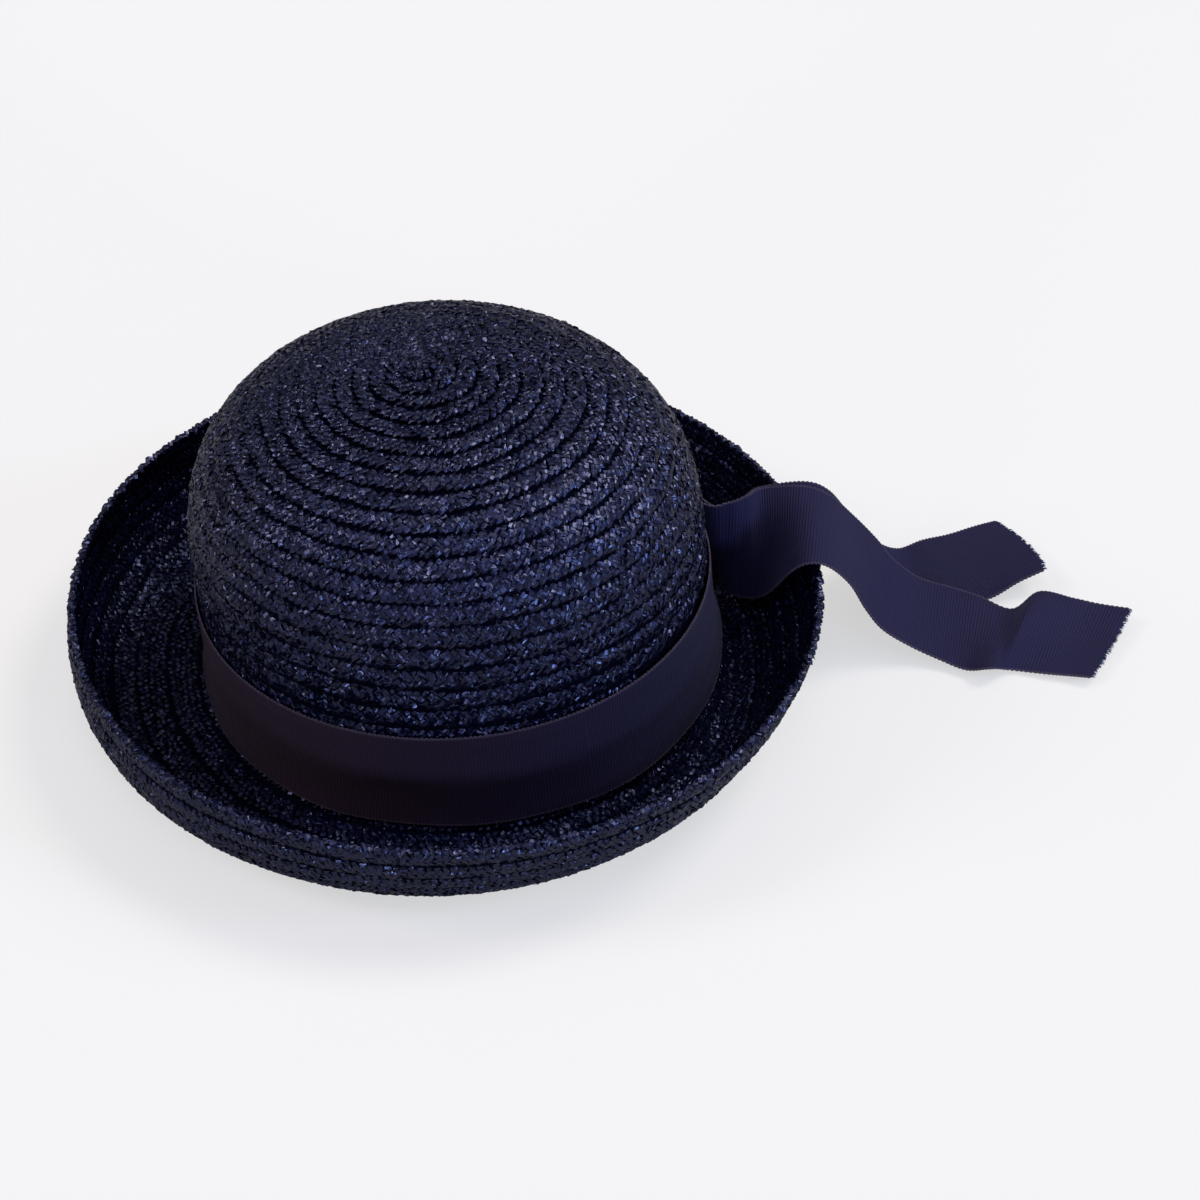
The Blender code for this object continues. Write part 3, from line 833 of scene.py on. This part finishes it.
def ribbon_finish(name, settings, bluer, browner, creases):
    """Woven grosgrain: a matt cloth with ribs running across. Its colour is painted darker in the
    rib grooves and lighter on their crests, as painted shade and highlight. The edges have small
    loops, painted lighter as a painted highlight, and the band turns browner towards one side."""
    material, tree, shader = new_finish(name)
    mm = add_node(tree, "UVMap", uv_map="ribbon")
    parts = add_node(tree, "SeparateXYZ", {"Vector": mm})
    # Ribs at the real pitch are too fine to show, so they are drawn a little coarser
    ribs = add_node(tree, "Math", {0: parts.outputs["X"]},
                    {1: 2 * math.pi / (settings.rib_drawn * 1000)}, operation="MULTIPLY")
    wave = add_node(tree, "Math", {0: ribs}, operation="SINE")
    # Threads about 0.5 mm apart
    weave = add_node(tree, "TexNoise", {"Vector": mm},
                     {"Scale": 1.9, "Detail": 2.0, "Roughness": 0.7}, noise_dimensions="2D")
    height = add_node(tree, "Math", {0: weave, 2: wave}, {1: 1.2}, operation="MULTIPLY_ADD")
    # Soft creases about 50 mm long and 9 mm across
    long_ways = add_node(tree, "Mapping", {"Vector": mm}, {"Scale": (0.02, 0.11, 1.0)})
    crumple = add_node(tree, "TexNoise", {"Vector": long_ways},
                       {"Scale": 1.0, "Detail": 1.5, "Roughness": 0.4}, noise_dimensions="2D")
    worn = add_node(tree, "Math", {0: crumple, 2: height}, {1: creases}, operation="MULTIPLY_ADD")
    bump = add_node(tree, "Bump", {"Height": worn}, {"Strength": 0.55, "Distance": 0.00012})
    # The band's colour turns browner towards one side of the hat
    place = add_node(tree, "TexCoord").outputs["Object"]
    turned = add_node(tree, "Mapping", {"Vector": place},
                      {"Rotation": (0.0, 0.0, math.radians(-60.0))})
    sides = add_node(tree, "SeparateXYZ", {"Vector": turned})
    brown_share = add_node(tree, "MapRange", {"Value": sides.outputs["X"]},
                   {"From Min": -0.09, "From Max": 0.06}, interpolation_type="SMOOTHSTEP")
    base = add_node(tree, "Mix", {"Factor": brown_share},
                    {6: (*browner, 1.0), 7: (*bluer, 1.0)}, data_type="RGBA")
    # Painted shade and highlight: the cloth is darker where the ribs and threads dip and lighter on
    # their crests
    rib_shade = add_node(tree, "MapRange", {"Value": height},
                     {"From Min": -0.6, "From Max": 1.6, "To Min": 0.76, "To Max": 1.1})
    rib_shaded = add_node(tree, "VectorMath", {0: base.outputs[2], "Scale": rib_shade}, operation="SCALE")
    half_width = RIBBON_WIDTH * 500
    middle = add_node(tree, "Math", {0: parts.outputs["Y"]}, {1: half_width}, operation="SUBTRACT")
    far = add_node(tree, "Math", {0: middle}, operation="ABSOLUTE")
    # The loops take up the outermost 0.55 mm, painted lighter there as a painted highlight
    edge = add_node(tree, "MapRange", {"Value": far},
                    {"From Min": half_width - 0.55, "From Max": half_width, "To Max": 0.8})
    highlighted_loops = add_node(tree, "Mix", {"Factor": edge, 6: rib_shaded},
                    {7: (*settings.edge_highlight_colour, 1.0)}, data_type="RGBA")
    join(tree, shader, {"Base Color": highlighted_loops.outputs[2], "Normal": bump},
         {"Roughness": 0.72, "Specular IOR Level": 0.2, "Sheen Weight": 0.06,
          "Sheen Roughness": 0.4})
    return material


def thread_finish(settings):
    """Loose threads of the ribbon's warp at its cut ends, painted a lighter blue in stripes along
    their twist as a painted highlight.
    """
    material, tree, shader = new_finish("frayed ribbon threads")
    mm = add_node(tree, "UVMap", uv_map="strand")
    tone = add_node(tree, "Attribute", attribute_name="shade").outputs["Fac"]
    twist = add_node(tree, "TexWave", {"Vector": mm}, {"Scale": 1.2})
    spread = add_node(tree, "Math", {0: tone, 1: twist.outputs["Fac"]}, operation="MULTIPLY")
    # Painted highlight: lighter blue along each thread's twist
    dye = add_node(tree, "Mix", {"Factor": spread},
                   {6: (*settings.tail_colour, 1.0), 7: (*settings.thread_highlight_colour, 1.0)},
                   data_type="RGBA")
    join(tree, shader, {"Base Color": dye.outputs[2]},
         {"Roughness": 0.7, "Specular IOR Level": 0.15})
    return material


def floor_finish(settings):
    """Plain pale paper. The photo's background is an even pale tone, so the floor glows where it
    is seen or mirrored, without lighting the hat from below."""
    material, tree, shader = new_finish("plain pale paper")
    place = add_node(tree, "TexCoord").outputs["Object"]
    grain = add_node(tree, "TexNoise", {"Vector": place}, {"Scale": 40.0})
    tint = add_node(tree, "Mix", {"Factor": grain},
                    {6: (*settings.floor, 1.0), 7: (*settings.floor_light, 1.0)}, data_type="RGBA")
    ray = add_node(tree, "LightPath")
    seen = add_node(tree, "Math",
                    {0: ray.outputs["Is Glossy Ray"], 2: ray.outputs["Is Camera Ray"]},
                    {1: settings.mirrored}, operation="MULTIPLY_ADD")
    glow = add_node(tree, "Math", {0: seen}, {1: settings.glow}, operation="MULTIPLY")
    join(tree, shader, {"Base Color": tint.outputs[2], "Emission Strength": glow},
         {"Emission Color": (1.0, 1.0, 1.0, 1.0), "Roughness": 0.9, "Specular IOR Level": 0.1})
    return material


# Operators, one for each group of pieces

class HAT_OT_stage(bpy.types.Operator):
    """Add the camera, the lights and the plain floor"""
    bl_idname = "hat.stage"
    bl_label = "Stage"

    def execute(self, context):
        settings = context.scene.hat_stage
        self.camera(context)
        for light in SOFT_LIGHTS:
            self.light(*light)
        world = bpy.data.worlds.new("studio")
        world.use_nodes = True
        join(world.node_tree, world.node_tree.nodes["Background"], (),
             {"Color": (*linear("#f4f4f4"), 1.0), "Strength": settings.sky})
        context.scene.world = world
        context.scene.view_settings.view_transform = "Standard"
        deselect()
        bpy.ops.mesh.primitive_plane_add(size=FLOOR_SIZE, location=(0.0, 0.0, FLOOR_HEIGHT))
        floor = context.object
        bpy.ops.object.transform_apply(location=True, rotation=False, scale=False)
        floor.name = "floor"
        floor.data.materials.append(floor_finish(settings))
        return {"FINISHED"}

    def camera(self, context):
        way = Vector((math.sin(VIEW_TURN) * math.cos(VIEW_RISE),
                      -math.cos(VIEW_TURN) * math.cos(VIEW_RISE), math.sin(VIEW_RISE)))
        deselect()
        bpy.ops.object.camera_add(location=VIEW_TARGET + way * VIEW_DISTANCE,
                                  rotation=(math.pi / 2 - VIEW_RISE, 0.0, VIEW_TURN))
        camera = context.object
        camera.name = "camera"
        camera.data.lens = VIEW_LENS
        camera.data.sensor_width = 36.0
        camera.data.clip_start = 0.05
        context.scene.camera = camera

    def light(self, name, turn, height, strength, spread, code):
        way = Vector(heading(turn)) * math.cos(math.radians(height))
        way.z = math.sin(math.radians(height))
        deselect()
        bpy.ops.object.light_add(type="SUN", location=VIEW_TARGET + way * 2)
        lamp = bpy.context.object
        lamp.name = name
        lamp.rotation_euler = way.to_track_quat("Z", "Y").to_euler()
        lamp.data.energy = strength
        lamp.data.angle = math.radians(spread)
        lamp.data.color = linear(code)


class HAT_OT_crown(bpy.types.Operator):
    """Plait the crown as one coil of braid from the tip down to the band"""
    bl_idname = "hat.crown"
    bl_label = "Crown"

    def execute(self, context):
        straw = context.scene.hat_straw
        finish = straw_finish(straw, straw.outer_gloss, CROWN_FACETS)
        dull = straw_finish(straw, straw.inner_gloss, FLAT_FACETS)
        # The inner layer's finish, painted dark as shade between the strands
        dark = core_finish(straw)
        strand = add_strand()
        reach = CROWN_DOWN[-1]
        # The plait runs on under the band's upper edge
        last_height = BAND_EDGE_HEIGHT + RIBBON_WIDTH - 0.004
        covered = np.interp(-last_height, -CROWN_UP, CROWN_DOWN)
        cells = 4
        spots = coil_spots(straw.strand_pitch, cells, covered)
        # The rows lie closest at the tip and stand out more and more towards the band
        growth = 0.5 + 1.1 * spots[1] / covered
        row = np.array((straw.row_lap * growth, straw.row_bulge * growth ** 2,
                        straw.row_gap * growth ** 3.6))
        sizes = (straw.strand_width, straw.strand_height, *PLAIT_ANGLES)
        shoulder = covered * 0.62
        for name, part, seed in (("crown_braid_top", spots[1] < shoulder, 11),
                                 ("crown_braid_side", spots[1] >= shoulder, 12)):
            piece = plait(crown_surface, [column[part] for column in spots], cells, 1,
                          row[:, part], sizes, strand, seed)
            finish_piece(piece, name, finish, "crown_straw")
        cells = 3
        spots = coil_spots(straw.lining_pitch, cells, reach - 0.003)
        row = (straw.row_lap * 0.3, straw.row_bulge * 0.3, straw.row_gap)
        sizes = (straw.lining_pitch * 0.7, straw.strand_height, *PLAIT_ANGLES)
        piece = plait(crown_surface, spots, cells, -1, row, sizes, strand, 13)
        finish_piece(piece, "crown_braid_inside", dull, "crown_straw")
        core = shell(crown_surface, 0.0, reach, lift=-0.0015, columns=120, rows=44, cap=0.0002)
        finish_piece(core, "crown_core", dark, "crown_straw", "crown")
        return {"FINISHED"}


class HAT_OT_brim(bpy.types.Operator):
    """Plait both faces of the rolled brim and its lip"""
    bl_idname = "hat.brim"
    bl_label = "Brim"

    def execute(self, context):
        straw = context.scene.hat_straw
        glossy = straw_finish(straw, straw.outer_gloss, FLAT_FACETS)
        dull = straw_finish(straw, straw.inner_gloss, FLAT_FACETS)
        strand = add_strand()
        cells = 5
        rows = round(BRIM_REACH / BRIM_ROW_PITCH)
        edges = np.linspace(0.0, BRIM_REACH - 0.0004, rows + 1)
        spots = ring_spots(edges, straw.strand_pitch, cells)
        # The rows show as ridges from outside and lie nearly flat inside
        upper = (straw.row_lap * 0.6, straw.row_bulge * 0.6, straw.row_gap * 0.6)
        under = (straw.row_lap * 0.3, straw.row_bulge * 3.0, straw.row_gap * 4.4)
        for name, side, row, angles, finish, seed in (
                ("brim_braid_inside", 1, upper, PLAIT_ANGLES, dull, 21),
                ("brim_braid_outside", -1, under, UNDERSIDE_ANGLES, glossy, 22)):
            sizes = (straw.strand_width, straw.strand_height, *angles)
            piece = plait(brim_surface, spots, cells, side, row, sizes, strand, seed)
            finish_piece(piece, name, finish, "brim_straw")
        finish_piece(self.lip(straw, strand), "brim_lip_braid", glossy, "brim_straw")
        core = shell(brim_surface, 0.0002, BRIM_REACH - 0.0008, lift=-0.0011, columns=160, rows=36,
                     cap=0.00005)
        # The inner layer is painted dark, as shade between the strands
        finish_piece(core, "brim_core", core_finish(straw), "brim_straw", "brim")
        return {"FINISHED"}

    def lip(self, straw, strand):
        """One row of strands that wraps over the brim's edge, a little closer than the others."""
        length, width, height = 0.0036, 0.0021, straw.strand_height * 1.3
        count = round(math.pi * (LIP_LONG + LIP_SHORT) / straw.strand_pitch * 1.25)
        number = np.arange(count)
        here, along, up, out = axes_at(brim_surface, (number + 0.5) * 360 / count,
                                       BRIM_REACH - 0.0004, -FACE_HEIGHT / 2, 1)
        angle = np.where(number % 2 == 0, 1.0, -1.0) * np.radians(38.0)
        points, faces = strand
        places, uv, shade = lay_strands(points, here, (along, out, -up), length, width, height,
                                        angle, 0.16, np.random.default_rng(23))
        return copies(places, faces, uv, shade)


class HAT_OT_band(bpy.types.Operator):
    """Wrap the grosgrain band round the foot of the crown"""
    bl_idname = "hat.band"
    bl_label = "Band"

    def execute(self, context):
        settings = context.scene.hat_ribbon
        length = math.pi * (CROWN_LONG + CROWN_SHORT + 2 * CLEARANCE)

        def place(part, share):
            return band_surface(part * 360, share, RIBBON_THICKNESS / 2)

        band = ribbon(settings, length, BAND_LINES, place, cap=0.00002)
        finish = ribbon_finish("grosgrain ribbon of the band", settings, settings.band_colour,
                               settings.band_browner, creases=18.0)
        finish_piece(band, "hat_band_ribbon", finish, "band_ribbon", "hat_band")
        return {"FINISHED"}


class HAT_OT_tails(bpy.types.Operator):
    """Lay the two ribbon tails over the lip and out along the floor"""
    bl_idname = "hat.tails"
    bl_label = "Tails"

    def execute(self, context):
        settings = context.scene.hat_ribbon
        finish = ribbon_finish("grosgrain ribbon of the tails", settings, settings.tail_colour,
                               settings.tail_colour, creases=6.0)
        loose = thread_finish(settings)
        for name, node, table, folds, bow, seed in (
                ("ribbon_tail_long", "tail_long", LONG_TAIL, LONG_TAIL_FOLDS, 0.0006, 31),
                ("ribbon_tail_short", "tail_short", SHORT_TAIL, (), 0.0024, 32)):
            self.tail(settings, (finish, loose), name, node, (table, folds), bow, seed)
        return {"FINISHED"}

    def tail(self, settings, finishes, name, node, shape, bow, seed):
        table, folds = shape
        lows, highs = tail_lines(table)
        places = np.linspace(0, len(lows) - 1, 800)
        middle = (through(lows, places) + through(highs, places)) / 2
        steps = np.linalg.norm(np.diff(middle, axis=0), axis=1)
        reach = np.append(0.0, np.cumsum(steps))
        length = reach[-1]

        def spot(part, share):
            """A place on the tail. Its cut end bows out in the middle."""
            short = bow * (2 * share - 1) ** 2 * part ** 8
            at = np.interp(part * length - short, reach, places)
            low, high = through(lows, at), through(highs, at)
            rise = fold_rise(folds, at, share)
            return low + (high - low) * share[:, None] + UP * rise[:, None]

        tail = ribbon(settings, length, TAIL_LINES, spot)
        finish_piece(tail, name, finishes[0], node + "_ribbon", node)
        fringe = self.fringe(spot, seed)
        finish_piece(fringe, name + "_fringe", finishes[1], node + "_ribbon")

    def fringe(self, spot, seed):
        """Short loose threads along a tail's cut end."""
        length, width, height = 0.0021, 0.0005, 0.0004
        rng = np.random.default_rng(seed)
        share = np.linspace(0.01, 0.99, 56)
        last = np.ones(len(share))
        end = spot(last, share)
        along = unit(end - spot(last * 0.99, share))
        across = unit(spot(last, share + 0.01) - end)
        out = unit(np.cross(along, across))
        starts = end + along * rng.uniform(-0.0002, 0.0005, (len(share), 1))
        points, faces = add_strand()
        places, uv, shade = lay_strands(points, starts, (along, across, out), length, width, height,
                                        0.0, SLOPE_SPREAD, rng)
        return copies(places, faces, uv, shade)


class HAT_PT_panel(bpy.types.Panel):
    """Lists the steps that make the hat"""
    bl_label = "Roller hat"
    bl_idname = "HAT_PT_panel"
    bl_space_type = "VIEW_3D"
    bl_region_type = "UI"
    bl_category = "Roller hat"

    def draw(self, context):
        for step in STEPS:
            self.layout.operator(step.bl_idname)
        for group in (context.scene.hat_straw, context.scene.hat_ribbon, context.scene.hat_stage):
            for name in group.__annotations__:
                self.layout.prop(group, name)


STEPS = (HAT_OT_stage, HAT_OT_crown, HAT_OT_brim, HAT_OT_band, HAT_OT_tails)
GROUPS = {"hat_straw": StrawSettings, "hat_ribbon": RibbonSettings, "hat_stage": StageSettings}


def register():
    for item in (*GROUPS.values(), *STEPS, HAT_PT_panel):
        bpy.utils.register_class(item)
    for name, group in GROUPS.items():
        setattr(bpy.types.Scene, name, bpy.props.PointerProperty(type=group))


def unregister():
    for name in GROUPS:
        delattr(bpy.types.Scene, name)
    for item in (HAT_PT_panel, *reversed(STEPS), *reversed(GROUPS.values())):
        bpy.utils.unregister_class(item)


def main():
    register()
    for step in STEPS:
        getattr(bpy.ops.hat, step.bl_idname.removeprefix("hat."))()


if __name__ == "__main__":
    main()
